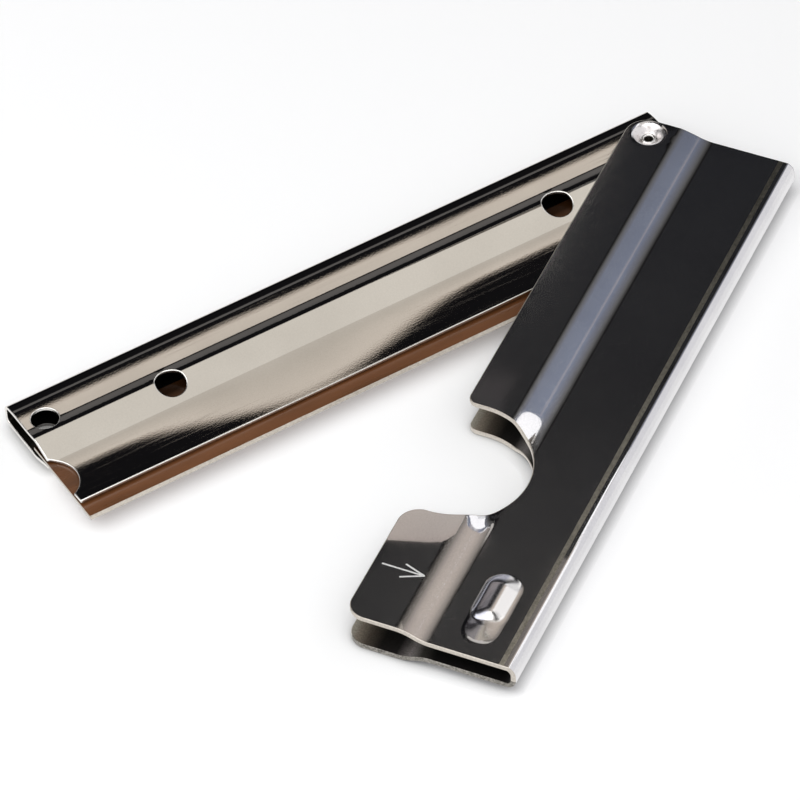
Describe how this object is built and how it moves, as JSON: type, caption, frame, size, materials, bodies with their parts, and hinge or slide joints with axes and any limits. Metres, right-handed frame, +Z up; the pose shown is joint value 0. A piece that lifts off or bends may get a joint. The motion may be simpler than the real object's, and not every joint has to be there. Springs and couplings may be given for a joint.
{
  "type": "folding glass scraper",
  "caption": "Folding pocket glass scraper of polished sheet steel: a blade holder with a long lacquered blade swings on a rivet out of a folded sheath that is its handle.",
  "frame": {"origin": "under the middle of the stored part's box, on the surface that it lies on", "axes": "+Z up, +Y along the sheath from its far end towards the pivot, +X across the sheath towards its folded spine"},
  "size_m": [0.0796, 0.1, 0.0058],
  "materials": {
    "sheath_steel": "polished, with fine handling scratches",
    "holder_steel": "polished, with fine lengthwise drawing marks",
    "rivet_steel": "bright rolled edge",
    "blade_lacquer": "glossy brown lacquer with a bright ground edge"
  },
  "bodies": {
    "handle": {"sheath": "sheath_steel", "pivot_rivet": "rivet_steel"},
    "swing": {"blade_holder": "holder_steel"},
    "cutter": {"blade": "blade_lacquer"}
  },
  "joints": [
    {"name": "holder_swing", "type": "hinge", "parent": "handle", "child": "swing", "pos_m": [0.01963, 0.04436, 0.0029], "axis": [0, 0, -1], "range_deg": [-34.5, 145.5]},
    {"name": "blade_slide", "type": "slide", "parent": "swing", "child": "cutter", "axis": [-0.5664, -0.8241, 0], "range_m": [0, 0.105]}
  ]
}
